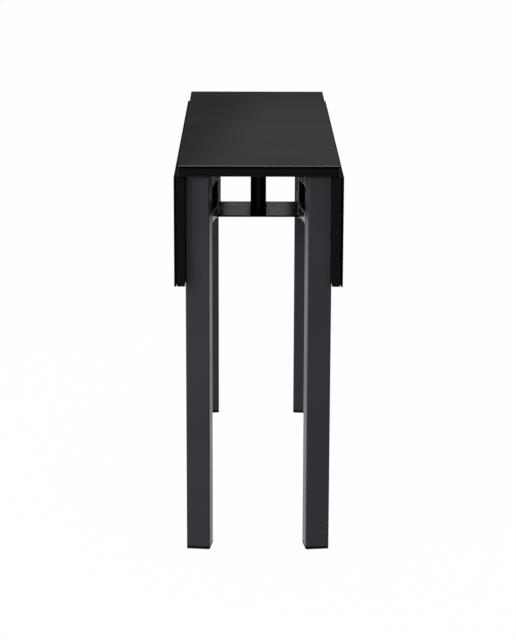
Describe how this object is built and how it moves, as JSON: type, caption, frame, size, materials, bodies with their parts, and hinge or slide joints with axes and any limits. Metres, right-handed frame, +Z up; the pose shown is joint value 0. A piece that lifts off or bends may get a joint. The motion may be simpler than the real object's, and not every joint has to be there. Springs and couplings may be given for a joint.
{
  "type": "drop-leaf table",
  "caption": "Narrow table with a black glass top bonded on a board, hinged leaves hanging at its long sides and square gate legs that swing out on pivots under the top.",
  "frame": {"origin": "on the floor under the middle of the table", "axes": "+X across the table, +Y along its length, +Z up"},
  "size_m": [0.315, 1, 0.75],
  "materials": {
    "black_glass": "polished black glass",
    "bond": "black adhesive sheet",
    "black_board": "black laminated board, satin",
    "satin_paint": "satin dark grey powder coat",
    "black_plastic": "moulded black plastic",
    "zinc_steel": "black zinc plate"
  },
  "bodies": {
    "top_and_frames": {"top_glass": "black_glass", "top_bond": "bond", "top_board": "black_board", "upper_plate_near": "satin_paint", "upper_plate_far": "satin_paint", "lower_plate_near": "satin_paint", "lower_plate_far": "satin_paint", "column_near": "satin_paint", "column_far": "satin_paint", "column_bolt_near": "zinc_steel", "column_bolt_far": "zinc_steel", "pivot_bolt_near_left": "zinc_steel", "pivot_bolt_near_right": "zinc_steel", "pivot_bolt_far_left": "zinc_steel", "pivot_bolt_far_right": "zinc_steel", "hinge_left_near_fixed": "zinc_steel", "hinge_left_near_pin": "zinc_steel", "hinge_left_far_fixed": "zinc_steel", "hinge_left_far_pin": "zinc_steel", "hinge_right_near_fixed": "zinc_steel", "hinge_right_near_pin": "zinc_steel", "hinge_right_far_fixed": "zinc_steel", "hinge_right_far_pin": "zinc_steel"},
    "leaf_left": {"leaf_left_glass": "black_glass", "leaf_left_bond": "bond", "leaf_left_board": "black_board", "hinge_left_near_moving": "zinc_steel", "hinge_left_far_moving": "zinc_steel"},
    "leaf_right": {"leaf_right_glass": "black_glass", "leaf_right_bond": "bond", "leaf_right_board": "black_board", "hinge_right_near_moving": "zinc_steel", "hinge_right_far_moving": "zinc_steel"},
    "gate_near_left": {"leg_near_left": "satin_paint", "leg_cap_near_left": "black_plastic", "foot_glide_near_left": "black_plastic", "gate_bracket_near_left": "satin_paint", "lower_bush_near_left": "black_plastic", "upper_bush_near_left": "black_plastic"},
    "gate_near_right": {"leg_near_right": "satin_paint", "leg_cap_near_right": "black_plastic", "foot_glide_near_right": "black_plastic", "gate_bracket_near_right": "satin_paint", "lower_bush_near_right": "black_plastic", "upper_bush_near_right": "black_plastic"},
    "gate_far_left": {"leg_far_left": "satin_paint", "leg_cap_far_left": "black_plastic", "foot_glide_far_left": "black_plastic", "gate_bracket_far_left": "satin_paint", "lower_bush_far_left": "black_plastic", "upper_bush_far_left": "black_plastic"},
    "gate_far_right": {"leg_far_right": "satin_paint", "leg_cap_far_right": "black_plastic", "foot_glide_far_right": "black_plastic", "gate_bracket_far_right": "satin_paint", "lower_bush_far_right": "black_plastic", "upper_bush_far_right": "black_plastic"}
  },
  "joints": [
    {"name": "leaf_left_raise", "type": "hinge", "parent": "top_and_frames", "child": "leaf_left", "pos_m": [-0.14415, 0, 0.73665], "axis": [0, 1, 0], "range_deg": [0, 90]},
    {"name": "leaf_right_raise", "type": "hinge", "parent": "top_and_frames", "child": "leaf_right", "pos_m": [0.14415, 0, 0.73665], "axis": [0, -1, 0], "range_deg": [0, 90]},
    {"name": "gate_near_left_swing", "type": "hinge", "parent": "top_and_frames", "child": "gate_near_left", "pos_m": [-0.08388, -0.3419, 0], "axis": [0, 0, -1], "range_deg": [-30, 0]},
    {"name": "gate_near_right_swing", "type": "hinge", "parent": "top_and_frames", "child": "gate_near_right", "pos_m": [0.08388, -0.3419, 0], "axis": [0, 0, 1], "range_deg": [-30, 0]},
    {"name": "gate_far_left_swing", "type": "hinge", "parent": "top_and_frames", "child": "gate_far_left", "pos_m": [-0.08388, 0.3419, 0], "axis": [0, 0, 1], "range_deg": [-30, 0]},
    {"name": "gate_far_right_swing", "type": "hinge", "parent": "top_and_frames", "child": "gate_far_right", "pos_m": [0.08388, 0.3419, 0], "axis": [0, 0, -1], "range_deg": [-30, 0]}
  ]
}
